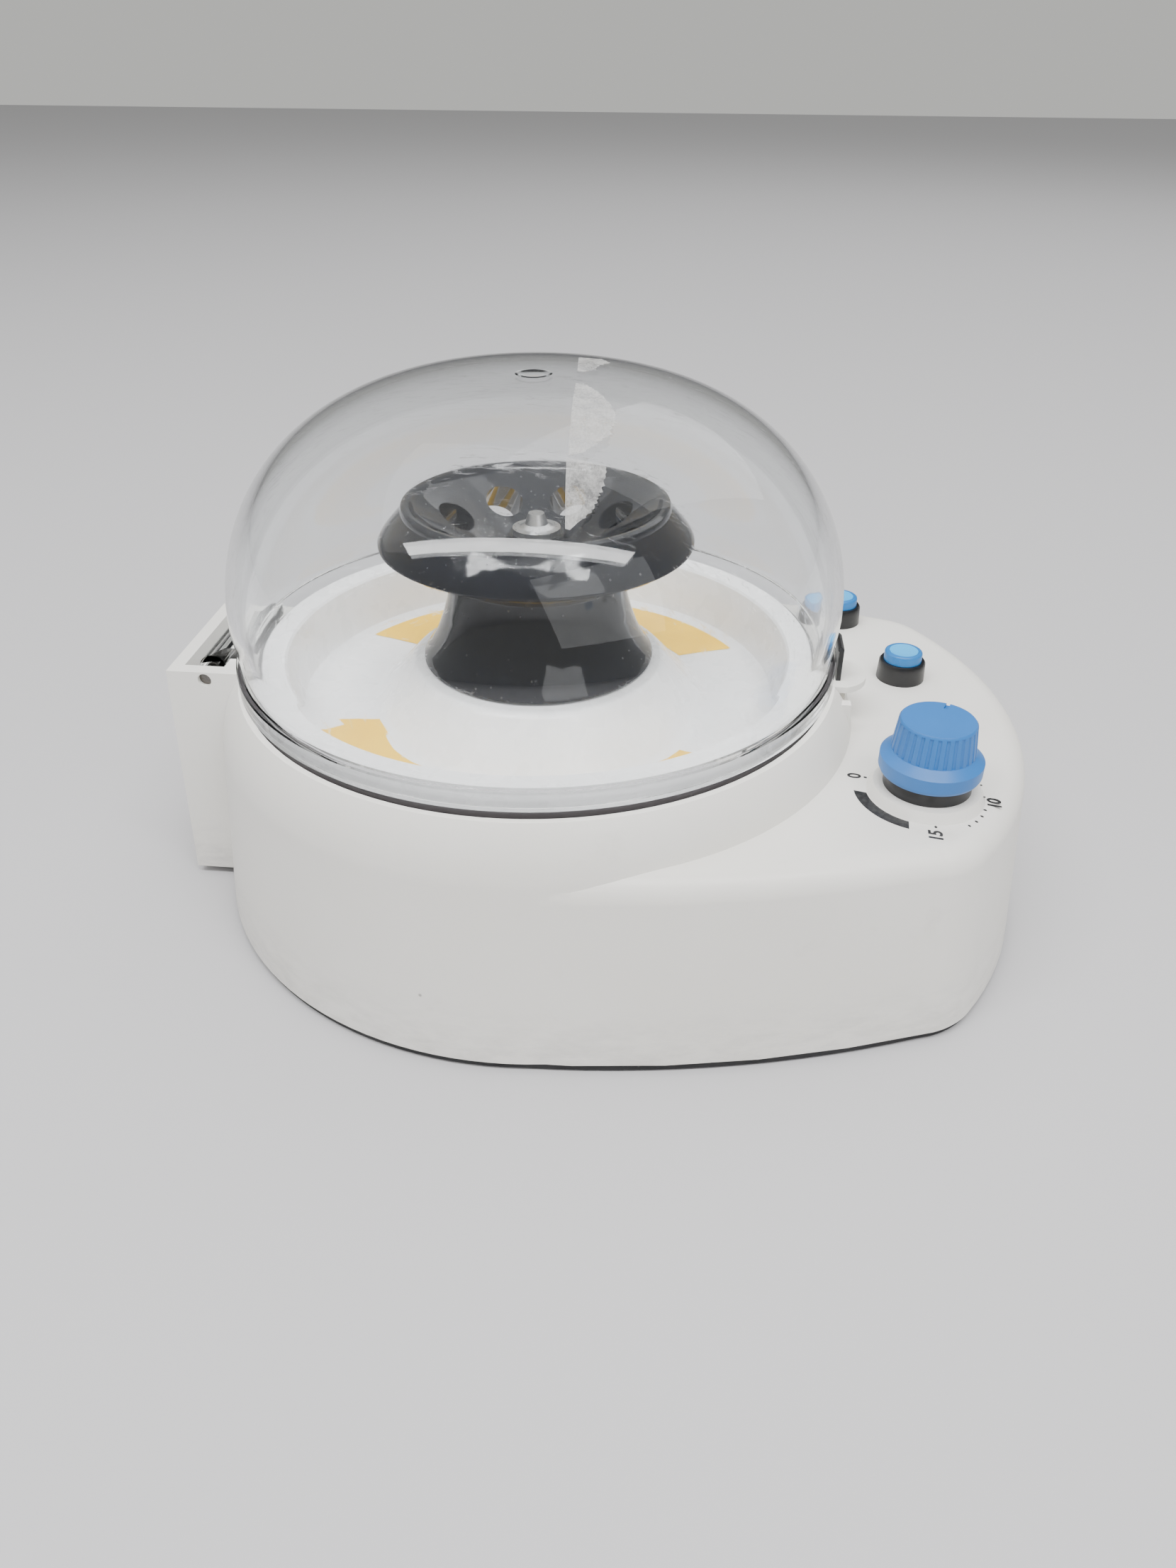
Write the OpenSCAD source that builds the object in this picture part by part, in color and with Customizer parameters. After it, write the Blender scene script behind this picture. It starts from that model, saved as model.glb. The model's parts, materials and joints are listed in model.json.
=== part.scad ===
// Small bench centrifuge: round housing with a front deck, clear dome lid, fixed-angle rotor.
// +Z up, the front faces -Y, the origin is under the middle of the object on the bench.

/* [Housing] */
// Radius of the round rear of the housing at its foot
body_r = 98; // [97:0.5:100]
// Distance from the rotor axis to the front tip
front_reach = 147; // [144:0.5:150]
// Radius of the front wall, seen from above
front_r = 115; // [112:0.5:120]
// Radius of the long side walls, seen from above
side_r = 300; // [290:1:320]
// Radius of the two front corners
corner_r = 25; // [22:0.5:28]
// Height of the flat front deck
deck_z = 58; // [56:0.5:60]
// Height of the rim lip
rim_z = 71; // [70.5:0.1:71.5]
// Draft of the outer walls, degrees
draft = 5; // [4:0.25:6]
// Rounding of the deck edge
edge_r = 7; // [6:0.25:8]
// Wall thickness of the mouldings
wall = 2.6; // [2.4:0.1:3]

/* [Lid] */
// Outer radius of the dome
dome_r = 86.25; // [86:0.05:86.3]
// Height of the top of the dome
dome_top = 153; // [148:0.5:156]
// Wall thickness of the dome
dome_wall = 2.7; // [2.4:0.1:3]

/* [Rotor] */
// Largest radius of the rotor head
rotor_r = 44; // [43:0.5:46]
// Radius of a tube hole
tube_r = 5.5; // [5.2:0.05:5.6]
// Distance from the rotor axis to the middle of a tube hole
tube_circle_r = 24.5; // [24:0.25:25]
// Angle of the tube holes from vertical, degrees
tube_tilt = 45; // [43:1:46]
// Number of tube holes
tube_count = 8; // [6:1:8]
// Angle the rotor has come to rest at, degrees
rotor_rest = 8; // [0:1:45]

/* [Controls] */
// Radius of the timer knob skirt
knob_r = 13.4; // [13:0.1:14]
// Height of the timer knob above the deck
knob_h = 22.3; // [21:0.1:24]
// Radius of the push button bezels
bezel_r = 7.3; // [7:0.1:8]
// Travel of the push buttons
button_travel = 2.5; // [2:0.1:2.8]

/* [Hidden] */
$fn = 96;
eps = 0.01;

// The rotor axis stands behind the middle, so that the box around the object is centred.
axis_y = 19.5;

// Levels
foot_z = 2.6;
plate_z = 0.6;
ledge_z = 68.5;
collar_z = 76.8;
bowl_floor_z = 59.5;
hill_z = 72.5;
lid_z = 73.4;
skirt_z = 73.5;

// Rim
groove_r = 85.2;
opening_r = 75.6;

// Hinge bracket, measured from the rotor axis
bracket_w = 47;
bracket_top_z = 72.5;
bracket_y_top = 105;
bracket_y_foot = 108;
pin_y = 94;
pin_z = 70;
pin_r = 2;
run = 0.05;

// Outline of the housing: the centres of its arcs, seen from above
side_c = [-(side_r - body_r), 0];
front_c = [0, -(front_reach - front_r)];
reach_side = side_r - corner_r;
reach_front = front_r - corner_r;
centre_gap = norm(front_c - side_c);
toward = (front_c - side_c) / centre_gap;
along = (pow(centre_gap, 2) + pow(reach_side, 2) - pow(reach_front, 2)) / (2 * centre_gap);
across = sqrt(pow(reach_side, 2) - pow(along, 2));
corner_c = side_c + along * toward + across * [toward[1], -toward[0]];
side_turn = atan2(corner_c[1] - side_c[1], corner_c[0] - side_c[0]);
front_turn = atan2(corner_c[1] - front_c[1], corner_c[0] - front_c[0]);

// Controls, measured from the rotor axis
timer_at = [-42.5, -109];
inner_button_at = [24, -110.5];
outer_button_at = [64, -94.3];
boss_top_z = deck_z + 2.7;

// Housing bosses and screws, measured from the rotor axis
boss_at = [[-74, -80], [74, -80], [-61, 61], [61, 61]];
boss_top = [deck_z - 1, deck_z - 1, 62, 62];
foot_at = [[-62, -92], [62, -92], [-72, 42], [72, 42]];

// Latch
latch_w = 18;
latch_y = -83;
latch_z = 60.5;

// Motor
motor_r = 26;
motor_z = 18;
motor_top = 62;
shaft_r = 3;
damper_at = [for (k = [0:2]) [33 * cos(90 + 120 * k), 33 * sin(90 + 120 * k)]];

// Control board, measured from the rotor axis
board_at = [0, -112];
board_size = [78, 32, 1.6];
board_z = 12;
board_hole_at = [for (sx = [-1, 1], sy = [-1, 1]) [sx * 35, board_at[1] + sy * 12]];

// Power inlet: its angle behind the axis towards +X, and its height
inlet_turn = 40;
inlet_z = 22;

module on_axis() { translate([0, axis_y, 0]) children(); }

// ---------------------------------------------------------------- housing shell

// How far the drafted wall has moved in at height z
function wall_in(z) = (z - foot_z) * tan(draft);

// Outline of the front part seen from above, moved in by d. Its sides start just inside the
// round wall.
function front_outline(d) = let (
    side = [for (k = [0:4]) let (t = 0.8 + (side_turn - 0.8) * k / 5)
        side_c + (side_r - 0.4 - d) * [cos(t), sin(t)]],
    corner = [for (k = [0:20]) let (t = side_turn + (front_turn - side_turn) * k / 20)
        corner_c + (corner_r - d) * [cos(t), sin(t)]],
    front = [for (k = [1:11]) let (t = front_turn + (-90 - front_turn) * k / 12)
        front_c + (front_r - d) * [cos(t), sin(t)]],
    half = concat(side, corner, front))
    concat(half, [[0, d - front_reach]],
        [for (k = [len(half) - 1:-1:0]) [-half[k][0], half[k][1]]]);

// The front part up to the deck, moved in by the wall thickness for its hollow
module front_body(inset, low_z) {
    round_r = edge_r - inset;
    cz = deck_z - edge_r;
    steps = 6;
    levels = concat([[low_z, wall_in(low_z)]],
        [for (k = [0:steps]) let (t = draft + (90 - draft) * k / steps)
            [cz + round_r * sin(t), wall_in(cz) + round_r * (1 / cos(draft) - cos(t))]]);
    rings = [for (v = levels) [for (q = front_outline(inset + v[1])) [q[0], q[1], v[0]]]];
    n = len(rings[0]);
    m = len(rings);
    polyhedron([for (g = rings) each g], concat([[for (k = [n - 1:-1:0]) k]],
        [for (j = [0:m - 2], k = [0:n - 1]) [j * n + k, j * n + (k + 1) % n,
            (j + 1) * n + (k + 1) % n, (j + 1) * n + k]],
        [[for (k = [0:n - 1]) (m - 1) * n + k]]));
}

// The round part from the foot to the rim: a drafted wall under a rounded shoulder
module round_body() {
    bend_z = 55;
    bend_r = 29.1;
    sx = body_r - wall_in(bend_z);
    rotate([0, 0, 90]) rotate_extrude($fn = 240) {
        polygon([[0, foot_z], [body_r, foot_z], [sx, bend_z], [sx - 20, bend_z],
            [sx - 20, rim_z], [0, rim_z]]);
        intersection() {
            translate([sx - bend_r * cos(draft), bend_z - bend_r * sin(draft)])
                circle(bend_r, $fn = 180);
            translate([sx - 21, bend_z]) square([40, rim_z - bend_z]);
        }
    }
}

module round_hollow() {
    rotate([0, 0, 90]) rotate_extrude($fn = 240)
        polygon([[0, 0], [body_r - wall - wall_in(0), 0],
            [body_r - wall - wall_in(55), 55], [88.4, 61], [84.6, ledge_z - wall],
            [0, ledge_z - wall]]);
}

module bracket_block() {
    half = bracket_w / 2;
    translate([-half, 0, 0]) rotate([90, 0, 90]) linear_extrude(bracket_w)
        polygon([[84, foot_z], [bracket_y_foot, foot_z], [bracket_y_top, bracket_top_z],
            [84, bracket_top_z]]);
}

module bracket_hollows() {
    half = bracket_w / 2;
    // the slot for the lid's arm
    translate([-half + 4.2, 89.2, 50]) cube([bracket_w - 8.4, 101 - 89.2, 30]);
    // the moulding core from below
    translate([-half + 3, 80, 0]) cube([bracket_w - 6, 103.5 - 80, 46]);
}

module screw_bosses() {
    for (k = [0:3]) translate([boss_at[k][0], boss_at[k][1], foot_z])
        cylinder(h = boss_top[k] - foot_z, r = 4);
}

module latch_ears() {
    for (s = [-1, 1]) translate([s * 12.5 - 1.5, latch_y - 8, latch_z - 4])
        cube([3, 11.5, ledge_z - 1 - latch_z + 4]);
}

module upper_housing() color("ivory") on_axis() difference() {
    union() {
        difference() {
            union() {
                round_body();
                front_body(0, foot_z);
                bracket_block();
            }
            round_hollow();
            front_body(wall, 0);
            // everything above the ledge inside the lip
            translate([0, 0, ledge_z]) cylinder(h = 10, r = groove_r, $fn = 240);
            translate([0, 0, 50]) cylinder(h = 30, r = opening_r, $fn = 240);
            bracket_hollows();
        }
        screw_bosses();
        latch_ears();
        // collar round the timer knob
        translate([timer_at[0], timer_at[1], deck_z - 1]) cylinder(h = 1.01, r = 15.5);
        translate([timer_at[0], timer_at[1], deck_z])
            cylinder(h = boss_top_z - deck_z, r1 = 15.5, r2 = 14);
    }
    for (k = [0:3]) translate([boss_at[k][0], boss_at[k][1], foot_z - 1])
        cylinder(h = 20, r = 1.3);
    translate([timer_at[0], timer_at[1], 40]) cylinder(h = 30, r = 4.8);
    for (p = [inner_button_at, outer_button_at]) translate([p[0], p[1], 40])
        cylinder(h = 30, r = 6.25);
    // slot for the latch
    translate([-latch_w / 2 - 1, -95, 65.7]) cube([latch_w + 2, 14, 6]);
    translate([-20, latch_y, latch_z]) rotate([0, 90, 0]) cylinder(h = 40, r = 1.5);
    // hinge pin holes
    translate([-30, pin_y, pin_z]) rotate([0, 90, 0]) cylinder(h = 60, r = pin_r);
    // power inlet hole
    rotate([0, 0, 90 - inlet_turn]) translate([80, 0, inlet_z]) rotate([0, 90, 0])
        cylinder(h = 30, r = 5.6);
}

// ---------------------------------------------------------------- base

module outline_plate(inset) {
    linear_extrude(foot_z - plate_z) {
        circle(body_r - inset, $fn = 240);
        for (m = [0, 1]) mirror([m, 0]) {
            translate(side_c) intersection() {
                circle(side_r - inset - 0.2, $fn = 720);
                polygon([[side_r - 60, 0], [side_r + 9, 0],
                    (side_r + 9) * [cos(side_turn), sin(side_turn)],
                    (side_r - 60) * [cos(side_turn), sin(side_turn)]]);
            }
            translate(corner_c) circle(corner_r - inset);
        }
        intersection() {
            translate(front_c) circle(front_r - inset, $fn = 240);
            polygon([front_c, front_c + 160 * [cos(front_turn), sin(front_turn)],
                front_c + 160 * [-cos(front_turn), sin(front_turn)]]);
        }
        polygon([[75, 0], corner_c, front_c, [-corner_c[0], corner_c[1]], [-75, 0]]);
        translate([-20, 80]) square([40, 26]);
    }
}

module base_plate() color("dimgray") on_axis() difference() {
    translate([0, 0, plate_z]) outline_plate(0.8);
    for (p = boss_at) translate([p[0], p[1], plate_z - 1]) {
        cylinder(h = 5, r = 1.8);
        cylinder(h = 2, r = 3.2);
    }
    for (p = damper_at) translate([p[0], p[1], plate_z - 1]) cylinder(h = 5, r = 1.8);
    for (p = board_hole_at) translate([p[0], p[1], plate_z - 1]) cylinder(h = 5, r = 1.6);
    // vent slots under the motor
    for (k = [0:11]) rotate([0, 0, 30 * k]) translate([44, -1.5, plate_z - 1]) cube([16, 3, 5]);
    // sockets for the feet
    for (p = foot_at) translate([p[0], p[1], plate_z - 1]) cylinder(h = 2, r = 7.2);
}

module rubber_feet() color("black") on_axis()
    for (p = foot_at) translate([p[0], p[1], 0]) {
        cylinder(h = plate_z + 1, r = 7);
    }

module pan_screw(p, head_z, tip_z, r, head_r) {
    translate([p[0], p[1], head_z]) cylinder(h = 1.0, r = head_r);
    translate([p[0], p[1], head_z]) cylinder(h = tip_z - head_z, r = r);
}

module housing_screws() color("silver") on_axis()
    for (p = boss_at) pan_screw(p, plate_z, 18, 1.2, 2.9);

// ---------------------------------------------------------------- bowl and rim

module rotor_bowl() color("lightsteelblue") on_axis() rotate_extrude($fn = 240)
    polygon([[79, ledge_z], [81, ledge_z], [81, collar_z - 0.6], [80.4, collar_z],
        [73.7, collar_z], [73.1, collar_z - 0.7], [70.9, 63.5], [70.2, 61.6], [68.6, 60.5],
        [66, 60], [50, bowl_floor_z], [48.4, bowl_floor_z + 0.5], [47.2, bowl_floor_z + 1.6],
        [38.2, hill_z - 1.6], [37, hill_z - 0.4], [35.8, hill_z], [11, hill_z],
        [11, hill_z - 2], [34.8, hill_z - 2], [36.2, hill_z - 3.1], [45.4, bowl_floor_z + 0.2],
        [47.2, bowl_floor_z - 1.5], [50, bowl_floor_z - 2], [67, bowl_floor_z - 1.5],
        [71.6, 59.6], [72.9, 63], [75, collar_z - 3.5], [75.6, collar_z - 2],
        [79, collar_z - 2]]);

module rim_gasket() color("black") on_axis() rotate_extrude($fn = 240) {
    translate([82, ledge_z]) square([3, 3.3]);
    translate([83.5, ledge_z + 3.1]) circle(1.5, $fn = 32);
}

// ---------------------------------------------------------------- lid

// Point on the dome's section: radius r, spring line z0, height h, angle t from the rim
function dome_pt(r, z0, h, t) = [r * pow(cos(t), 2 / 2.72), z0 + h * sin(t)];

module dome_lid() color("aliceblue", 0.4) on_axis() difference() {
    spring_z = 93.5;
    steps = 26;
    outer = [for (k = [0:steps]) dome_pt(dome_r, spring_z, dome_top - spring_z,
        90 * pow(k / steps, 0.8))];
    inner = [for (k = [steps:-1:0]) dome_pt(dome_r - dome_wall, spring_z,
        dome_top - dome_wall - spring_z, 90 * pow(k / steps, 0.8))];
    union() {
        rotate_extrude($fn = 240)
            polygon(concat([[82.6, lid_z], [86.3, lid_z], [86.3, 78.6], [86, 79], [84.9, 79.3],
                [84.95, 81.5], [85.6, 87]], outer, inner, [[82.9, 86], [82.6, 81]]));
        // hinge arm and knuckle
        translate([-16, 0, 0]) rotate([90, 0, 90]) linear_extrude(32) {
            polygon([[84.4, lid_z], [84.4, 77], [89.6, 77], [96.9, 73.2], [pin_y, pin_z],
                [90.2, 71.8], [88.6, lid_z]]);
            translate([pin_y, pin_z]) circle(4.2, $fn = 48);
        }
    }
    translate([-17, pin_y, pin_z]) rotate([0, 90, 0]) cylinder(h = 34, r = pin_r + run);
}

module hinge_pin() color("silver") on_axis()
    translate([-22, pin_y, pin_z]) rotate([0, 90, 0]) cylinder(h = 44, r = pin_r);

// ---------------------------------------------------------------- latch

module latch_tab() color("ivory") on_axis() difference() {
    union() {
        // tongue over the deck
        intersection() {
            translate([0, -86.5, 68.6]) cylinder(h = 2, r = 9.6);
            translate([-latch_w / 2, -97, 68]) cube([latch_w, 11.5, 4]);
        }
        // arm through the slot, down to the pivot
        translate([-latch_w / 2, 0, 0]) rotate([90, 0, 90]) linear_extrude(latch_w)
            polygon([[-80.5, 60], [-83.9, 60], [-83.9, 65.9], [-85.2, 66.5], [-88, 66.5],
                [-88, 70.4], [-85.4, 70.4], [-85.4, 68.1], [-81, 64]]);
        translate([-latch_w / 2, latch_y, latch_z]) rotate([0, 90, 0])
            cylinder(h = latch_w, r = 3);
    }
    translate([-20, latch_y, latch_z]) rotate([0, 90, 0]) cylinder(h = 40, r = 1.55);
    // seat of the hook
    translate([-5.1, -88.4, 69.4]) cube([10.2, 1.5, 8]);
}

module latch_hook() color("dimgray") on_axis()
    translate([-5, 0, 0]) rotate([90, 0, 90]) linear_extrude(10)
        polygon([[-88.3, 69.4], [-87, 69.4], [-87, 79.5], [-86.6, 79.9], [-86.6, 80.8],
            [-87.4, 81.2], [-88.3, 80.4]]);

module latch_pin() color("silver") on_axis()
    translate([-14, latch_y, latch_z]) rotate([0, 90, 0]) cylinder(h = 28, r = 1.5);

module latch_spring() color("silver") on_axis()
    for (k = [0:4]) translate([9.7 + k * 0.25, latch_y, latch_z]) rotate([0, 90, 0])
        rotate_extrude($fn = 48) translate([2.1, 0]) circle(0.12, $fn = 16);

module lid_switch() color("black") on_axis() {
    translate([-26, -82, 52]) cube([10, 6, 10]);
    translate([-24, -80, 62]) cube([2, 2, 1.5]);
}

// ---------------------------------------------------------------- rotor and motor

module rotor() color("black") on_axis() rotate([0, 0, rotor_rest]) difference() {
    rotate_extrude($fn = 180) polygon([[shaft_r + run, 80], [8, 80], [8, 98], [20.6, 98],
        [22.6, 91], [26, 82.4], [30.2, 75.4], [31, skirt_z], [33.6, skirt_z],
        [33.5, skirt_z + 0.8], [31.2, 77.6], [29.2, 81.4], [27.5, 85.8], [26, 91], [25, 95.5],
        [24.6, 99], [25.2, 100.6], [27, 102], [40, 106.4], [43.2, 107.8],
        [rotor_r, 108.5], [rotor_r, 109.2], [43, 110.9], [40.3, 114], [37.9, 116.5],
        [37.2, 117.3], [37.3, 118.1], [36.9, 119], [35.9, 119.5], [34.8, 119.3],
        [34.1, 118.4], [33.2, 117.1], [14.6, 104.9], [13, 104.2], [11.4, 104.4], [9, 107],
        [8, 110], [shaft_r + run, 110]]);
    for (k = [0:tube_count - 1]) rotate([0, 0, 360 * (k + 0.5) / tube_count])
        translate([tube_circle_r, 0, 111.4]) rotate([0, tube_tilt + 90, 0])
            translate([0, 0, -8]) cylinder(h = 30, r = tube_r);
}

module rotor_nut() color("silver") on_axis() difference() {
    union() {
        translate([0, 0, 110]) cylinder(h = 1.6, r = 6.7);
        translate([0, 0, 111.6]) cylinder(h = 1, r1 = 5, r2 = 3.2);
        translate([0, 0, 112.6]) cylinder(h = 3, r1 = 3.2, r2 = 2.2);
    }
    translate([0, 0, 109]) cylinder(h = 4.05, r = shaft_r + run - 0.95);
}

module motor_shaft() color("silver") on_axis() {
    translate([0, 0, 12]) cylinder(h = 97.9, r = shaft_r);
    translate([0, 0, 109]) cylinder(h = 4, r = shaft_r - 0.95);
}

module motor_armature() color("peru") on_axis() difference() {
    union() {
        translate([0, 0, 34]) cylinder(h = 20, r = 18);
        translate([0, 0, 31]) cylinder(h = 3, r = 14);
        translate([0, 0, 25]) cylinder(h = 6, r = 8);
        translate([0, 0, 54]) cylinder(h = 2.5, r = 14);
    }
    translate([0, 0, 20]) cylinder(h = 40, r = shaft_r);
    for (k = [0:11]) rotate([0, 0, 30 * k]) translate([13, -1.2, 33.9]) cube([6, 2.4, 20.2]);
}

module motor_can() color("silver") on_axis() difference() {
    union() {
        translate([0, 0, motor_z + 4]) cylinder(h = motor_top - motor_z - 4, r = motor_r);
        translate([0, 0, motor_top - eps]) cylinder(h = 9, r = 9);
    }
    translate([0, 0, motor_z]) cylinder(h = motor_top - motor_z - 2, r = motor_r - 1.5);
    translate([0, 0, 50]) cylinder(h = 18.5, r = 8);
    translate([0, 0, 50]) cylinder(h = 30, r = 4.5);
}

module motor_magnets() color("gray") on_axis()
    for (s = [0, 180]) rotate([0, 0, s - 60]) rotate_extrude(angle = 120)
        translate([18.8, 32]) square([5.6, 24]);

module motor_end_cap() color("dimgray") on_axis() difference() {
    union() {
        translate([0, 0, motor_z]) cylinder(h = 4, r = motor_r);
        translate([0, 0, motor_z - 5]) cylinder(h = 6, r = 10);
    }
    translate([0, 0, motor_z - 4]) cylinder(h = 12, r = 8);
    translate([0, 0, motor_z - 6]) cylinder(h = 12, r = 4.5);
    for (s = [-1, 1]) translate([s * 16 - 1.5, -4, motor_z - 1]) cube([3, 8, 6]);
}

module bearing(z) {
    translate([0, 0, z]) difference() {
        cylinder(h = 5, r = 8);
        translate([0, 0, -1]) cylinder(h = 7, r = shaft_r + run);
        for (zz = [-0.01, 4.51]) translate([0, 0, zz]) difference() {
            cylinder(h = 0.5, r = 6.8);
            translate([0, 0, -1]) cylinder(h = 3, r = 4.4);
        }
    }
}

module motor_bearings() color("lightgray") on_axis() {
    bearing(motor_z - 4);
    bearing(63.4);
}

module motor_plate() color("silver") on_axis() difference() {
    union() {
        for (p = damper_at) translate([p[0], p[1], 22.2]) cylinder(h = 1.6, r = 8);
        translate([0, 0, 22.2]) cylinder(h = 1.6, r = 34);
    }
    translate([0, 0, 20]) cylinder(h = 6, r = motor_r);
    for (p = damper_at) translate([p[0], p[1], 20]) cylinder(h = 6, r = 2.2);
}

module motor_dampers() color("black") on_axis()
    for (p = damper_at) translate([p[0], p[1], foot_z]) rotate_extrude()
        polygon([[2.2, 0], [6, 0], [6, 5], [4.6, 7.5], [4.6, 12], [6, 14.6], [6, 19.6],
            [2.2, 19.6]]);

module motor_screws() color("silver") on_axis()
    for (p = damper_at) {
        translate([p[0], p[1], foot_z]) cylinder(h = 23.4, r = 1.7);
        translate([p[0], p[1], 23.8]) cylinder(h = 2.4, r = 4, $fn = 6);
    }

// ---------------------------------------------------------------- timer

module timer_knob() color("royalblue") translate([timer_at[0], timer_at[1] + axis_y, 0])
    difference() {
        union() {
            translate([0, 0, deck_z + 7.1]) cylinder(h = 1, r1 = 12.9, r2 = knob_r);
            translate([0, 0, deck_z + 8.1]) cylinder(h = 3.4, r = knob_r);
            translate([0, 0, deck_z + 11.5]) cylinder(h = 2, r1 = knob_r, r2 = 10.9);
            translate([0, 0, deck_z + 13.5])
                cylinder(h = knob_h - 14, r1 = 10.9, r2 = 9.95);
            translate([0, 0, deck_z + knob_h - 0.5]) cylinder(h = 0.5, r1 = 9.95, r2 = 9.5);
        }
        translate([0, 0, deck_z]) cylinder(h = 18, r = shaft_r + run);
        translate([0, 0, deck_z + 6]) cylinder(h = 3.5, r = 8);
        for (k = [0:29]) rotate([0, 0, 12 * k + 6]) translate([11.1, 0, deck_z + 13.7])
            rotate([0, -6.2, 0]) cylinder(h = 8, r = 0.55, $fn = 24);
        // pointer notch
        rotate([0, 0, -23]) translate([6.4, -0.5, deck_z + knob_h - 0.8]) cube([4, 1, 1]);
    }

module timer_shaft() color("silver") translate([timer_at[0], timer_at[1] + axis_y, 0])
    translate([0, 0, 45]) cylinder(h = deck_z + 18 - 45, r = shaft_r);

module timer_disc() color("black") translate([timer_at[0], timer_at[1] + axis_y, 0])
    difference() {
        translate([0, 0, boss_top_z]) cylinder(h = 4, r = 11.5);
        translate([0, 0, boss_top_z - 1]) cylinder(h = 6, r = 8.2);
    }

module timer_body() color("silver") translate([timer_at[0], timer_at[1] + axis_y, 0])
    difference() {
        union() {
            translate([-12, -12, 38]) cube([24, 24, 13]);
            translate([0, 0, 51]) cylinder(h = deck_z - wall - 51, r = 10);
            translate([0, 0, 51]) cylinder(h = deck_z + 5.2 - 51, r = 4.5);
        }
        translate([0, 0, 44]) cylinder(h = 30, r = shaft_r + run);
    }

module timer_nut() color("silver") translate([timer_at[0], timer_at[1] + axis_y, 0])
    difference() {
        translate([0, 0, boss_top_z]) cylinder(h = 2.2, r = 7.4, $fn = 6);
        translate([0, 0, boss_top_z - 1]) cylinder(h = 5, r = 4.5);
    }

// ---------------------------------------------------------------- push buttons

module at_button(p) { translate([p[0], p[1] + axis_y, 0]) children(); }

module button_cap(p) color("deepskyblue") at_button(p) {
    translate([0, 0, deck_z + 3]) cylinder(h = 5.8, r = 5.75);
    translate([0, 0, deck_z + 8.8]) cylinder(h = 0.5, r1 = 5.75, r2 = 5.2);
    translate([0, 0, deck_z - 8]) cylinder(h = 12, r = 3);
}

module button_bezel(p) color("black") at_button(p) difference() {
    union() {
        translate([0, 0, deck_z]) cylinder(h = 5.6, r1 = bezel_r, r2 = 7.05);
        translate([0, 0, deck_z + 5.6]) cylinder(h = 0.6, r1 = 7.05, r2 = 6.6);
    }
    translate([0, 0, deck_z - 1]) cylinder(h = 9, r = 5.75 + run);
}

module button_body(p) color("black") at_button(p) difference() {
    union() {
        translate([0, 0, 38]) cylinder(h = deck_z - 0.1 - 38, r = 6);
        for (s = [-1, 1]) translate([s * 2.5 - 0.4, -1.2, 34.5]) cube([0.8, 2.4, 4]);
    }
    translate([0, 0, 43]) cylinder(h = 20, r = shaft_r + run);
}

module button_nut(p) color("silver") at_button(p) difference() {
    intersection() {
        translate([0, 0, deck_z - wall - 2.5]) cylinder(h = 2.5, r = 7.4, $fn = 6);
        translate([0, 0, deck_z - wall - 2.5]) cylinder(h = 2.5, r = 6.9);
    }
    translate([0, 0, 40]) cylinder(h = 20, r = 6);
}

module button_spring(p) color("silver") at_button(p)
    for (k = [0:5]) translate([0, 0, 43.3 + 1.28 * k]) rotate_extrude($fn = 32)
        translate([2.3, 0]) circle(0.3, $fn = 16);

module inner_button_cap() { button_cap(inner_button_at); }
module inner_button_bezel() { button_bezel(inner_button_at); }
module inner_button_body() { button_body(inner_button_at); }
module inner_button_nut() { button_nut(inner_button_at); }
module inner_button_spring() { button_spring(inner_button_at); }
module outer_button_cap() { button_cap(outer_button_at); }
module outer_button_bezel() { button_bezel(outer_button_at); }
module outer_button_body() { button_body(outer_button_at); }
module outer_button_nut() { button_nut(outer_button_at); }
module outer_button_spring() { button_spring(outer_button_at); }

// ---------------------------------------------------------------- electronics

module control_board() color("darkgreen") on_axis() difference() {
    translate([board_at[0] - board_size[0] / 2, board_at[1] - board_size[1] / 2, board_z])
        cube(board_size);
    for (p = board_hole_at) translate([p[0], p[1], board_z - 1]) cylinder(h = 5, r = 1.7);
}

module board_parts() color("darkslateblue") on_axis() {
    top = board_z + board_size[2];
    translate([-30, board_at[1] - 6, top]) cube([15, 12, 12]);
    for (k = [0:2]) translate([-6 + 11 * k, board_at[1] - 4, top]) cylinder(h = 14, r = 4);
    translate([26, board_at[1] - 8, top]) cube([3, 16, 16]);
    translate([-10, board_at[1] + 5, top]) cube([18, 8, 3]);
}

module board_standoffs() color("gold") on_axis()
    for (p = board_hole_at) translate([p[0], p[1], foot_z]) difference() {
        cylinder(h = board_z - foot_z, r = 3, $fn = 6);
        translate([0, 0, -1]) cylinder(h = 20, r = 1.5);
    }

module board_screws() color("silver") on_axis()
    for (p = board_hole_at) {
        translate([p[0], p[1], 8]) cylinder(h = board_z - 8 + 2, r = 1.4);
        translate([p[0], p[1], board_z + board_size[2]]) cylinder(h = 1.8, r = 2.8);
    }

module power_inlet() color("black") on_axis()
    rotate([0, 0, 90 - inlet_turn]) translate([97, 0, inlet_z]) rotate([0, 90, 0])
        difference() {
            union() {
                translate([0, 0, -14]) cylinder(h = 16, r = 5.4);
                cylinder(h = 2.4, r = 7.6);
            }
            translate([0, 0, -7]) difference() {
                cylinder(h = 20, r = 2.8);
                translate([0, 0, -1]) cylinder(h = 9, r = 1.05);
            }
        }

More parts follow.
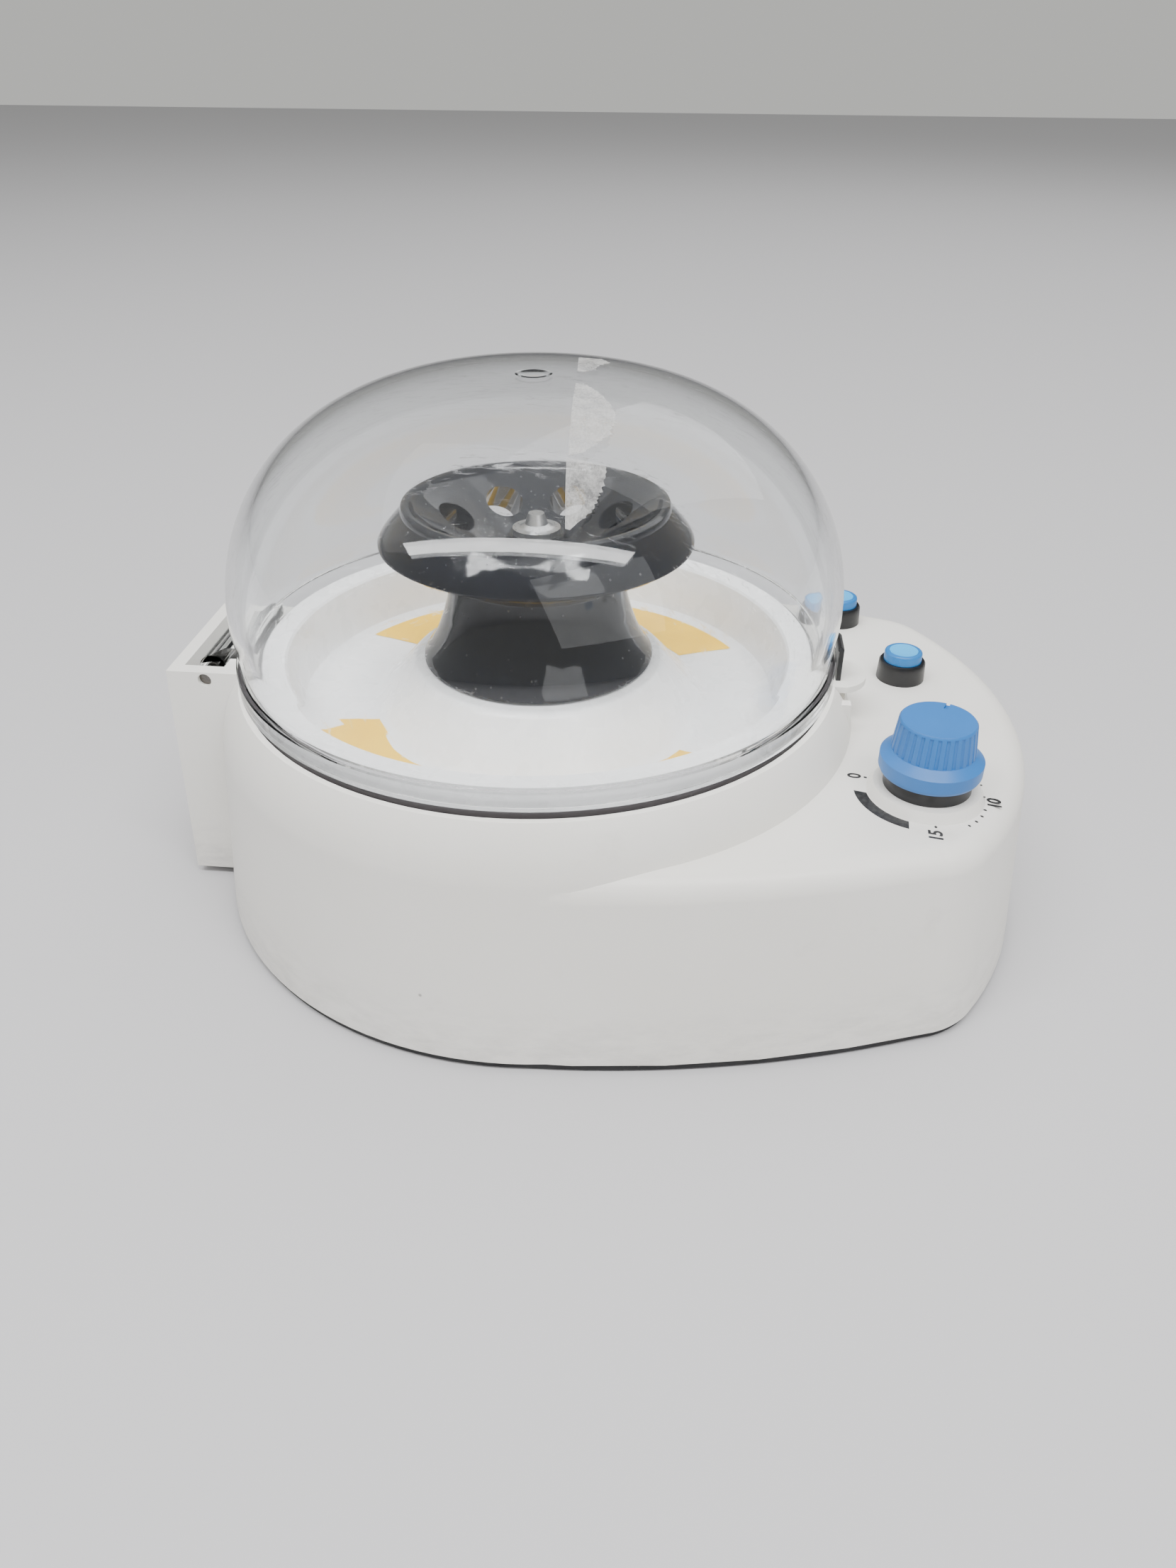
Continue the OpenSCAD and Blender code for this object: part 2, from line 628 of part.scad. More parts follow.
// A round wire swept along its points, with flat ends
function unit(v) = v / norm(v);
function bez(p, t) = pow(1 - t, 3) * p[0] + 3 * pow(1 - t, 2) * t * p[1]
    + 3 * (1 - t) * pow(t, 2) * p[2] + pow(t, 3) * p[3];
function wire_ring(p, t, r, sides) = let (d = unit(bez(p, min(t + 0.01, 1)) - bez(p,
    max(t - 0.01, 0))), u = unit(cross(d, [0.1, 0.2, 1])), v = cross(d, u), c = bez(p, t))
    [for (k = [0:sides - 1]) c + r * (cos(360 * k / sides) * u + sin(360 * k / sides) * v)];

module wire(p, r) {
    sides = 8;
    rings = 18;
    points = [for (j = [0:rings]) each wire_ring(p, j / rings, r, sides)];
    faces = concat([[for (k = [0:sides - 1]) k]],
        [for (j = [0:rings - 1], k = [0:sides - 1]) [j * sides + k, (j + 1) * sides + k,
            (j + 1) * sides + (k + 1) % sides, j * sides + (k + 1) % sides]],
        [[for (k = [sides - 1:-1:0]) rings * sides + k]]);
    polyhedron(points, faces);
}

// From the motor's terminals to the board
module motor_wires() color("red") on_axis()
    for (s = [-1, 1]) wire([[s * 16, 0, motor_z - 0.2], [s * 16, -10, 8],
        [s * 12, -60, 6], [s * 5, board_at[1] + 15.2, board_z - 1.6]], 0.9);

// From the power inlet round the motor to the board
module inlet_wires() color("black") on_axis()
    for (s = [-1, 1]) wire([[52.5, 62.5, inlet_z + s * 2.2], [66, 24, inlet_z - 8 + s * 1.5],
        [60, -60, 9 + s * 1.5], [40 + s * 1.5, board_at[1] + 6, board_z - 2]], 0.9);

upper_housing();
base_plate();
rubber_feet();
housing_screws();
rotor_bowl();
rim_gasket();
hinge_pin();
dome_lid();
latch_tab();
latch_hook();
latch_pin();
latch_spring();
lid_switch();
rotor();
rotor_nut();
motor_shaft();
motor_armature();
motor_can();
motor_magnets();
motor_end_cap();
motor_bearings();
motor_plate();
motor_dampers();
motor_screws();
timer_knob();
timer_shaft();
timer_disc();
timer_body();
timer_nut();
inner_button_cap();
inner_button_bezel();
inner_button_body();
inner_button_nut();
inner_button_spring();
outer_button_cap();
outer_button_bezel();
outer_button_body();
outer_button_nut();
outer_button_spring();
control_board();
board_parts();
board_standoffs();
board_screws();
power_inlet();
motor_wires();
inlet_wires();
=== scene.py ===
import json
import math
import random

import bmesh
import bpy
from mathutils import Matrix, Vector


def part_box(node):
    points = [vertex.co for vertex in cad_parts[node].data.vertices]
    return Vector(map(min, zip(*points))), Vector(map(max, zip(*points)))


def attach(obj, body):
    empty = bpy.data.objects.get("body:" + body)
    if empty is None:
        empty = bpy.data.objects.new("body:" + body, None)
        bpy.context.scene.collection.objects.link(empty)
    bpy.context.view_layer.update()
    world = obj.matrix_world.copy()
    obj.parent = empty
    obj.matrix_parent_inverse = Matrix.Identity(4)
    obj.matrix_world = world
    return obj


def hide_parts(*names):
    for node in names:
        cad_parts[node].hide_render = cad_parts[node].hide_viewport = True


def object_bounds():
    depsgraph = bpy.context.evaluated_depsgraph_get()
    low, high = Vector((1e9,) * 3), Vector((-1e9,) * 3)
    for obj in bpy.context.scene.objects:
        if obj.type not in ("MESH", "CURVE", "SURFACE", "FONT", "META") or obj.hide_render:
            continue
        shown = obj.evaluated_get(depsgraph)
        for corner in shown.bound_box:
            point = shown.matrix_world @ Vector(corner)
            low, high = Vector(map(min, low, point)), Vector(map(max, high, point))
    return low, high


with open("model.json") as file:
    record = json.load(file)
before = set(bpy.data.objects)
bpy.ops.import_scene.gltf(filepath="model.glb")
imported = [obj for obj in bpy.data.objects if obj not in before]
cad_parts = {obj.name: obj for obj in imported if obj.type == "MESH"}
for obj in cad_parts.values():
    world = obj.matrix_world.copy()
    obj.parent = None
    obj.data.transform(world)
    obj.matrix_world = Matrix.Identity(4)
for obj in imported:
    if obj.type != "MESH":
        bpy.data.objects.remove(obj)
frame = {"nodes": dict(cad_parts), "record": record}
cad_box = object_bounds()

MM = 0.001
AXIS_Y = 19.5        # the rotor axis stands behind the middle of the object
DECK_Z = 58.0
DOME_R = 86.25       # outside radius of the dome at its spring line
DOME_WALL = 2.7
DOME_SPRING = 93.5   # height at which the dome starts to curve in
DOME_TOP = 153.0
DOME_POWER = 2.72    # squareness of the dome's section: 2 would be an ellipse
PIN_Y, PIN_Z = 94.0, 70.0    # hinge pin, y from the rotor axis
KNOB = (-42.5, -109.0 + AXIS_Y)
nodes = frame["nodes"]
random.seed(7)

# ---------------------------------------------------------------- camera, floor and light


def make_camera():
    """The photograph's view: from the left side, a little above the lid."""
    focal_px, image_h = 1650.0, 2212.0
    place = Vector((-0.3102, -0.0247, 0.2284))
    pitch, roll = math.radians(32.9), math.radians(0.37)
    level = Vector((0.9956, 0.0941, 0.0)).normalized()
    right = Vector((level.y, -level.x, 0.0))
    forward = level * math.cos(pitch) - Vector((0, 0, math.sin(pitch)))
    up = right.cross(forward)
    right, up = (right * math.cos(roll) + up * math.sin(roll),
                 up * math.cos(roll) - right * math.sin(roll))
    data = bpy.data.cameras.new("view_camera")
    data.sensor_fit = "VERTICAL"
    data.sensor_height = 36.0
    data.lens = focal_px / image_h * 36.0
    data.clip_start = 0.01
    camera = bpy.data.objects.new("view_camera", data)
    turn = Matrix((right, up, -forward)).transposed().to_4x4()
    camera.matrix_world = Matrix.Translation(place) @ turn
    bpy.context.scene.collection.objects.link(camera)
    bpy.context.scene.camera = camera


def area_light(name, place, target, size, power, colour=(1, 1, 1)):
    data = bpy.data.lights.new(name, "AREA")
    data.shape = "RECTANGLE"
    data.size, data.size_y = size
    data.energy = power
    data.color = colour
    lamp = bpy.data.objects.new(name, data)
    lamp.location = place
    aim = (Vector(target) - Vector(place)).normalized()
    lamp.rotation_euler = aim.to_track_quat("-Z", "Y").to_euler()
    bpy.context.scene.collection.objects.link(lamp)
    return lamp


def make_stage():
    floor_mesh = bpy.data.meshes.new("floor")
    half = 4.0
    floor_mesh.from_pydata([(-half, -half, 0), (half, -half, 0), (half, half, 0), (-half, half, 0)],
                           [], [(0, 1, 2, 3)])
    floor = bpy.data.objects.new("floor", floor_mesh)
    bpy.context.scene.collection.objects.link(floor)
    mat, shader = new_material("floor_pale")
    shader.inputs["Base Color"].default_value = (0.55, 0.545, 0.56, 1)
    shader.inputs["Roughness"].default_value = 0.7
    floor.data.materials.append(mat)
    # a long ceiling lamp, which the glossy parts mirror, and two soft fills
    lamp = area_light("ceiling_lamp", (-0.62, 0.10, 1.62), (0, 0, 0.1), (0.22, 2.1), 38)
    lamp.rotation_euler = (0, 0, 0)
    fills = [area_light("soft_left", (-1.3, -0.9, 1.3), (0, 0, 0.05), (1.4, 1.4), 15),
             area_light("soft_right", (1.2, -0.6, 1.6), (0, 0, 0.05), (1.6, 1.6), 14),
             area_light("soft_top", (0.1, 0.3, 2.0), (0, 0, 0.05), (2.2, 2.2), 16)]
    for fill in fills:
        fill.visible_glossy = False
    world = bpy.data.worlds.new("studio")
    world.use_nodes = True
    back = world.node_tree.nodes["Background"]
    back.inputs["Color"].default_value = (0.84, 0.84, 0.81, 1)
    back.inputs["Strength"].default_value = 0.66
    # mirrors see a dimmer room, as the dark side of a real one
    dim = world.node_tree.nodes.new("ShaderNodeBackground")
    dim.inputs["Color"].default_value = (0.80, 0.82, 0.86, 1)
    dim.inputs["Strength"].default_value = 0.16
    path = world.node_tree.nodes.new("ShaderNodeLightPath")
    mirrored = world.node_tree.nodes.new("ShaderNodeMath")
    mirrored.operation = "MULTIPLY"
    pick = world.node_tree.nodes.new("ShaderNodeMixShader")
    wire = world.node_tree.links.new
    wire(path.outputs["Is Glossy Ray"], mirrored.inputs[0])
    wire(path.outputs["Is Reflection Ray"], mirrored.inputs[1])
    wire(mirrored.outputs["Value"], pick.inputs["Fac"])
    wire(back.outputs["Background"], pick.inputs[1])
    wire(dim.outputs["Background"], pick.inputs[2])
    wire(pick.outputs["Shader"], world.node_tree.nodes["World Output"].inputs["Surface"])
    bpy.context.scene.world = world


# ---------------------------------------------------------------- materials


def new_material(name):
    mat = bpy.data.materials.new(name)
    mat.use_nodes = True
    return mat, mat.node_tree.nodes["Principled BSDF"]


def add(mat, kind, **values):
    node = mat.node_tree.nodes.new(kind)
    for key, value in values.items():
        setattr(node, key, value)
    return node


def link(mat, a, b):
    mat.node_tree.links.new(a, b)


def object_coords(mat, stretch=(1, 1, 1)):
    coords = add(mat, "ShaderNodeTexCoord")
    mapping = add(mat, "ShaderNodeMapping")
    mapping.inputs["Scale"].default_value = stretch
    link(mat, coords.outputs["Object"], mapping.inputs["Vector"])
    return mapping.outputs["Vector"]


def noise(mat, vector, scale, detail=3.0, rough=0.5):
    node = add(mat, "ShaderNodeTexNoise")
    node.inputs["Scale"].default_value = scale
    node.inputs["Detail"].default_value = detail
    node.inputs["Roughness"].default_value = rough
    link(mat, vector, node.inputs["Vector"])
    return node.outputs["Fac"]


def ramp(mat, value, stops):
    node = add(mat, "ShaderNodeValToRGB")
    elements = node.color_ramp.elements
    while len(elements) < len(stops):
        elements.new(0.5)
    for element, (place, colour) in zip(elements, stops):
        element.position = place
        element.color = (*colour, 1)
    link(mat, value, node.inputs["Fac"])
    return node.outputs["Color"]


def grey_ramp(mat, value, low, high, a=0.0, b=1.0):
    return ramp(mat, value, [(low, (a, a, a)), (high, (b, b, b))])


def mix(mat, factor, a, b):
    """Colour a where factor is 0, colour b where it is 1."""
    node = add(mat, "ShaderNodeMix", data_type="RGBA")
    link(mat, factor, node.inputs["Factor"])
    for socket, value in ((node.inputs[6], a), (node.inputs[7], b)):
        if isinstance(value, tuple):
            socket.default_value = (*value, 1)
        else:
            link(mat, value, socket)
    return node.outputs[2]


def roughness_from(mat, shader, value, low, high):
    node = add(mat, "ShaderNodeMapRange")
    node.inputs["From Min"].default_value = 0.3
    node.inputs["From Max"].default_value = 0.7
    node.inputs["To Min"].default_value = low
    node.inputs["To Max"].default_value = high
    link(mat, value, node.inputs["Value"])
    link(mat, node.outputs["Result"], shader.inputs["Roughness"])


def bump(mat, shader, heights, socket="Normal"):
    """heights: (value, depth in mm, strength), laid over each other."""
    normal = None
    for value, depth, strength in heights:
        node = add(mat, "ShaderNodeBump")
        node.inputs["Strength"].default_value = strength
        node.inputs["Distance"].default_value = depth * MM
        link(mat, value, node.inputs["Height"])
        if normal is not None:
            link(mat, normal, node.inputs["Normal"])
        normal = node.outputs["Normal"]
    link(mat, normal, shader.inputs[socket])


def scale_colour(colour, k):
    return tuple(min(1.0, c * k) for c in colour)


def plastic(name, colour, rough=(0.4, 0.5), grain=1500, depth=0.02, mottle=0.05, dust=0.0,
            dust_colour=(0.5, 0.5, 0.48), coat=0.0):
    """Moulded plastic: a fine grain, a slow mottle, and specks of dust or wear."""
    mat, shader = new_material(name)
    vector = object_coords(mat)
    slow = noise(mat, vector, 28, 4)
    fine = noise(mat, vector, grain, 2)
    base = ramp(mat, slow, [(0.3, scale_colour(colour, 1 - mottle)),
                            (0.7, scale_colour(colour, 1 + mottle))])
    if dust:
        specks = add(mat, "ShaderNodeTexVoronoi", feature="F1")
        specks.inputs["Scale"].default_value = 420
        link(mat, vector, specks.inputs["Vector"])
        dots = grey_ramp(mat, specks.outputs["Distance"], 0.05, 0.16, 1, 0)
        patches = grey_ramp(mat, noise(mat, vector, 60, 5, 0.7), 0.5, 0.72, 0, dust)
        both = add(mat, "ShaderNodeMath", operation="MULTIPLY")
        link(mat, dots, both.inputs[0])
        link(mat, patches, both.inputs[1])
        base = mix(mat, both.outputs["Value"], base, dust_colour)
    link(mat, base, shader.inputs["Base Color"])
    roughness_from(mat, shader, noise(mat, vector, 140, 3), *rough)
    bump(mat, shader, [(fine, depth, 0.6)])
    shader.inputs["Coat Weight"].default_value = coat
    return mat


def housing_plastic():
    """Cream moulding: spark-eroded grain, faint yellowing, and painted shade that darkens it
    towards the foot.
    """
    mat, shader = new_material("housing_cream")
    vector = object_coords(mat)
    base = ramp(mat, noise(mat, vector, 14, 3), [(0.3, (0.79, 0.77, 0.725)),
                                                 (0.7, (0.83, 0.815, 0.78))])
    stain = grey_ramp(mat, noise(mat, vector, 38, 6, 0.65), 0.62, 0.78, 0, 0.35)
    base = mix(mat, stain, base, (0.60, 0.57, 0.52))
    # painted shade, broken into streaks, that darkens the housing towards the foot
    split = add(mat, "ShaderNodeSeparateXYZ")
    link(mat, vector, split.inputs["Vector"])
    low = add(mat, "ShaderNodeMapRange")
    low.inputs["From Min"].default_value = 0.0
    low.inputs["From Max"].default_value = 0.022
    low.inputs["To Min"].default_value = 0.55
    low.inputs["To Max"].default_value = 0.0
    link(mat, split.outputs["Z"], low.inputs["Value"])
    streaks = grey_ramp(mat, noise(mat, object_coords(mat, (1, 1, 3)), 90, 5, 0.7), 0.4, 0.75)
    painted_foot_shade = add(mat, "ShaderNodeMath", operation="MULTIPLY")
    link(mat, low.outputs["Result"], painted_foot_shade.inputs[0])
    link(mat, streaks, painted_foot_shade.inputs[1])
    base = mix(mat, painted_foot_shade.outputs["Value"], base, (0.42, 0.41, 0.39))
    # a few dark pin marks
    marks = add(mat, "ShaderNodeTexVoronoi", feature="F1")
    marks.inputs["Scale"].default_value = 34
    link(mat, vector, marks.inputs["Vector"])
    pins = grey_ramp(mat, marks.outputs["Distance"], 0.012, 0.024, 0.7, 0)
    base = mix(mat, pins, base, (0.22, 0.20, 0.18))
    link(mat, base, shader.inputs["Base Color"])
    roughness_from(mat, shader, noise(mat, vector, 60, 3), 0.36, 0.46)
    bump(mat, shader, [(noise(mat, vector, 1100, 3, 0.6), 0.035, 0.75),
                       (noise(mat, vector, 190, 2), 0.03, 0.25)])
    return mat


def clear_plastic(name, tint=(0.97, 0.98, 0.985), scratch=1.0):
    """Polished clear plastic with hairline scratches. Light passes it without a dark shadow."""
    mat, shader = new_material(name)
    shader.inputs["Base Color"].default_value = (*tint, 1)
    shader.inputs["Transmission Weight"].default_value = 1.0
    shader.inputs["IOR"].default_value = 1.4
    vector = object_coords(mat)
    scuffs = noise(mat, vector, 45, 8, 0.75)
    hair = noise(mat, object_coords(mat, (9, 1.3, 2.2)), 120, 6, 0.8)
    roughness_from(mat, shader, scuffs, 0.0, 0.05 * scratch)
    bump(mat, shader, [(grey_ramp(mat, hair, 0.60, 0.66, 0, 1), 0.015, 0.16 * scratch)])
    clear = add(mat, "ShaderNodeBsdfTransparent")
    clear.inputs["Color"].default_value = (0.93, 0.935, 0.935, 1)
    path = add(mat, "ShaderNodeLightPath")
    pick = add(mat, "ShaderNodeMixShader")
    out = mat.node_tree.nodes["Material Output"]
    link(mat, path.outputs["Is Shadow Ray"], pick.inputs["Fac"])
    link(mat, shader.outputs["BSDF"], pick.inputs[1])
    link(mat, clear.outputs["BSDF"], pick.inputs[2])
    link(mat, pick.outputs["Shader"], out.inputs["Surface"])
    return mat


def metal(name, colour, rough=(0.25, 0.4), brushed=(1, 1, 1)):
    mat, shader = new_material(name)
    vector = object_coords(mat, brushed)
    grain = noise(mat, vector, 900, 4, 0.6)
    link(mat, ramp(mat, noise(mat, vector, 50, 3), [(0.3, scale_colour(colour, 0.86)),
                                                    (0.7, colour)]), shader.inputs["Base Color"])
    shader.inputs["Metallic"].default_value = 1.0
    roughness_from(mat, shader, grain, *rough)
    bump(mat, shader, [(grain, 0.01, 0.4)])
    return mat


def sticker_paper():
    mat, shader = new_material("sticker_yellow")
    vector = object_coords(mat)
    link(mat, ramp(mat, noise(mat, vector, 70, 4), [(0.3, (0.80, 0.47, 0.018)),
                                                    (0.7, (0.90, 0.56, 0.03))]),
         shader.inputs["Base Color"])
    roughness_from(mat, shader, noise(mat, vector, 300, 3), 0.35, 0.5)
    bump(mat, shader, [(noise(mat, vector, 700, 3), 0.02, 0.4)])
    return mat


def tape_paper():
    """Torn paper left by old tape: fibrous, and thin enough to see through."""
    mat, shader = new_material("tape_residue")
    vector = object_coords(mat)
    fibres = noise(mat, object_coords(mat, (1, 2.4, 1)), 900, 6, 0.75)
    link(mat, ramp(mat, fibres, [(0.3, (0.36, 0.355, 0.35)), (0.7, (0.66, 0.655, 0.64))]),
         shader.inputs["Base Color"])
    shader.inputs["Roughness"].default_value = 0.85
    thick = grey_ramp(mat, noise(mat, vector, 260, 5, 0.7), 0.34, 0.6, 0.22, 0.72)
    link(mat, thick, shader.inputs["Alpha"])
    bump(mat, shader, [(fibres, 0.05, 0.8)])
    return mat


def print_ink():
    mat, shader = new_material("print_black")
    vector = object_coords(mat)
    link(mat, ramp(mat, noise(mat, vector, 900, 4), [(0.35, (0.012, 0.012, 0.014)),
                                                     (0.75, (0.05, 0.05, 0.05))]),
         shader.inputs["Base Color"])
    roughness_from(mat, shader, noise(mat, vector, 500, 2), 0.4, 0.55)
    return mat


CREAM = housing_plastic()
BOWL = plastic("bowl_white", (0.77, 0.77, 0.775), (0.22, 0.34), 900, 0.012, 0.03, 0.25,
               (0.42, 0.30, 0.20))
CLEAR = clear_plastic("dome_clear")
ROTOR = plastic("rotor_black", (0.0055, 0.0062, 0.009), (0.025, 0.075), 700, 0.004, 0.2, 0.55,
                (0.40, 0.40, 0.40))
KNOB_BLUE = plastic("knob_blue", (0.028, 0.165, 0.47), (0.36, 0.46), 1400, 0.02, 0.06, 0.1,
                    (0.12, 0.28, 0.55))
CAP_BLUE = plastic("cap_blue", (0.050, 0.42, 0.84), (0.25, 0.35), 1200, 0.01, 0.06)
CAP_RIM = plastic("cap_rim_blue", (0.018, 0.17, 0.46), (0.25, 0.35), 1200, 0.01, 0.06)
BLACK = plastic("plastic_black", (0.012, 0.012, 0.013), (0.3, 0.42), 1300, 0.02, 0.15, 0.3)
PLATE = plastic("plate_black", (0.010, 0.010, 0.011), (0.45, 0.6), 1100, 0.03, 0.15, 0.3)
RUBBER = plastic("rubber_dark", (0.030, 0.026, 0.028), (0.55, 0.7), 900, 0.03, 0.12, 0.3)
STEEL = metal("steel_satin", (0.62, 0.62, 0.63))
PIN = metal("pin_dark_steel", (0.16, 0.15, 0.14), (0.2, 0.35))
COPPER = metal("copper_winding", (0.70, 0.36, 0.18), brushed=(1, 1, 30))
MAGNET = metal("magnet_grey", (0.16, 0.16, 0.17), (0.5, 0.7))
BRASS = metal("brass_satin", (0.72, 0.52, 0.20))
BOARD = plastic("board_green", (0.015, 0.11, 0.045), (0.3, 0.4), 600, 0.02, 0.1)
WIRE_RED = plastic("wire_red", (0.42, 0.015, 0.015), (0.35, 0.45), 900, 0.01)
WIRE_BLACK = plastic("wire_black", (0.012, 0.012, 0.012), (0.35, 0.45), 900, 0.01)
STICKER = sticker_paper()
TAPE = tape_paper()
INK = print_ink()

BY_SLOT = {"cream_plastic": CREAM, "plate_black": PLATE, "rubber": RUBBER, "steel": STEEL,
           "bowl_white": BOWL, "clear_dome": CLEAR, "black_plastic": BLACK, "rotor_black": ROTOR,
           "copper": COPPER, "magnet": MAGNET, "knob_blue": KNOB_BLUE, "cap_blue": CAP_BLUE,
           "board_green": BOARD, "brass": BRASS, "wire_red": WIRE_RED, "wire_black": WIRE_BLACK}
SLOT_OF = {s["node"]: s["material_slot"] for s in frame["record"]["subparts"]}
BODY_OF = {n: body for body, names in frame["record"]["behaviour"]["bodies"].items()
           for n in names}

# ---------------------------------------------------------------- pieces


def finish_piece(name, mesh, material, body, angle=38, smooth=True):
    """Puts a mesh into the scene as a piece with its material, on its body."""
    if smooth:
        mesh.shade_smooth()
        mesh.set_sharp_from_angle(angle=math.radians(angle))
    mesh.materials.clear()
    mesh.materials.append(material)
    piece = bpy.data.objects.new(name, mesh)
    bpy.context.scene.collection.objects.link(piece)
    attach(piece, body)
    return piece


def dress(node, material=None, angle=38, bevel=0.0):
    """The CAD node's own shape with its seams joined, smooth shading and softened edges."""
    bm = bmesh.new()
    bm.from_mesh(nodes[node].data)
    bmesh.ops.remove_doubles(bm, verts=bm.verts, dist=0.002 * MM)
    bmesh.ops.dissolve_degenerate(bm, edges=bm.edges, dist=0.002 * MM)
    mesh = bpy.data.meshes.new(node + "_skin")
    bm.to_mesh(mesh)
    bm.free()
    for extra in ("custom_normal", "sharp_face", "sharp_edge"):
        if extra in mesh.attributes:
            mesh.attributes.remove(mesh.attributes[extra])
    piece = finish_piece(node + "_skin", mesh, material or BY_SLOT[SLOT_OF[node]], BODY_OF[node],
                         angle)
    if bevel:
        edge = piece.modifiers.new("edge", "BEVEL")
        edge.width = bevel * MM
        edge.segments = 2
        edge.limit_method = "ANGLE"
        edge.angle_limit = math.radians(50)
    even = piece.modifiers.new("even", "WEIGHTED_NORMAL")
    even.keep_sharp = True
    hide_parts(node)
    return piece


def revolve(name, outline, material, body, segments=192, centre=(0, AXIS_Y), closed=True,
            angle=38):
    """Turns an outline of (radius, z) in mm about an upright axis."""
    bm = bmesh.new()
    rings = []
    for r, z in outline:
        if r < 1e-6:
            rings.append([bm.verts.new((centre[0] * MM, centre[1] * MM, z * MM))])
            continue
        rings.append([bm.verts.new(((centre[0] + r * math.cos(2 * math.pi * k / segments)) * MM,
                                    (centre[1] + r * math.sin(2 * math.pi * k / segments)) * MM,
                                    z * MM)) for k in range(segments)])
    pairs = list(zip(rings, rings[1:] + rings[:1])) if closed else list(zip(rings, rings[1:]))
    for low, high in pairs:
        for k in range(segments):
            j = (k + 1) % segments
            face = []
            for v in (low[k % len(low)], low[j % len(low)], high[j % len(high)],
                      high[k % len(high)]):
                if v not in face:
                    face.append(v)
            if len(face) > 2:
                bm.faces.new(face)
    bmesh.ops.recalc_face_normals(bm, faces=bm.faces)
    mesh = bpy.data.meshes.new(name)
    bm.to_mesh(mesh)
    bm.free()
    return finish_piece(name, mesh, material, body, angle)


def dome_height(r):
    rise = math.sqrt(max(0.0, 1 - (r / DOME_R) ** DOME_POWER))
    return DOME_SPRING + (DOME_TOP - DOME_SPRING) * rise


def make_dome():
    steps = 40
    rise = DOME_TOP - DOME_SPRING
    angles = [90 * (k / steps) ** 0.8 for k in range(steps + 1)]

    def arc(r, h):
        return [(r * max(0.0, math.cos(math.radians(t))) ** (2 / DOME_POWER),
                 DOME_SPRING + h * math.sin(math.radians(t))) for t in angles]

    outer = arc(DOME_R, rise)
    outer[-1] = (0.0, DOME_TOP)
    inner = arc(DOME_R - DOME_WALL, rise - DOME_WALL)[::-1]
    inner[0] = (0.0, DOME_TOP - DOME_WALL)
    outline = ([(82.6, 73.7), (82.9, 73.4), (86.0, 73.4), (86.3, 73.7), (86.3, 78.5), (86.0, 79.0),
                (85.2, 79.2), (84.9, 79.6), (84.95, 81.5), (85.2, 84.0), (85.6, 87.0),
                (86.0, 90.5)] + outer + inner
               + [(83.3, 90.5), (82.9, 86.0), (82.65, 81.0)])
    dome = revolve("dome_shell", outline, CLEAR, "lid", 224, angle=25)
    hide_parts("dome_lid")
    # ring left by the mould's gate, at the very top
    gate = [(0.0, 153.2), (3.2, 153.15), (3.9, 153.3), (4.4, 153.25), (4.9, 153.0), (4.9, 152.9),
            (0.0, 152.95)]
    top = cad_box[1][2] / MM
    gate = [(r, z - (153.35 - top) - 0.02) for r, z in gate]
    revolve("dome_gate", gate, CLEAR, "lid", 64, angle=30)
    make_lid_arm()


def make_lid_arm():
    """Arm from the flange back to the knuckle, shaded smooth."""
    knuckle = 4.2
    bore = 2.05
    half = 16.0
    ring = 40
    bm = bmesh.new()
    # knuckle: a thick tube on the pin
    loops = []
    for x in (-half, half):
        for r in (knuckle, bore):
            loop = []
            for k in range(ring):
                turn = 2 * math.pi * k / ring
                y = AXIS_Y + PIN_Y + r * math.cos(turn)
                z = PIN_Z + r * math.sin(turn)
                loop.append(bm.verts.new((x * MM, y * MM, z * MM)))
            loops.append(loop)
    for k in range(ring):
        j = (k + 1) % ring
        bm.faces.new((loops[0][k], loops[0][j], loops[2][j], loops[2][k]))
        bm.faces.new((loops[1][k], loops[3][k], loops[3][j], loops[1][j]))
        bm.faces.new((loops[0][k], loops[1][k], loops[1][j], loops[0][j]))
        bm.faces.new((loops[2][k], loops[2][j], loops[3][j], loops[3][k]))
    outline = [(86.0, 73.5), (86.0, 76.9), (89.4, 76.9), (93.2, 75.0), (96.2, 73.2), (97.4, 71.6),
               (94.0, 72.3), (91.4, 72.3), (90.2, 71.9), (88.8, 73.5)]
    sides = [[bm.verts.new((x * MM, (AXIS_Y + y) * MM, z * MM)) for y, z in outline]
             for x in (-half, half)]
    n = len(outline)
    for k in range(n):
        j = (k + 1) % n
        bm.faces.new((sides[0][k], sides[0][j], sides[1][j], sides[1][k]))
    bm.faces.new(sides[0])
    bm.faces.new(sides[1][::-1])
    bmesh.ops.recalc_face_normals(bm, faces=bm.faces)
    mesh = bpy.data.meshes.new("lid_arm")
    bm.to_mesh(mesh)
    bm.free()
    finish_piece("lid_arm", mesh, CLEAR, "lid", 30)


def dome_point(x, y, lift=0.12):
    """A point just above the dome's outside; x and y in mm, y from the rotor axis."""
    r = math.hypot(x, y)
    z = dome_height(r)
    r2 = r + 0.01
    slope = (dome_height(r2) - z) / 0.01
    n = Vector((-slope * x / max(r, 1e-6), -slope * y / max(r, 1e-6), 1)).normalized()
    return Vector((x, y + AXIS_Y, z)) + n * lift


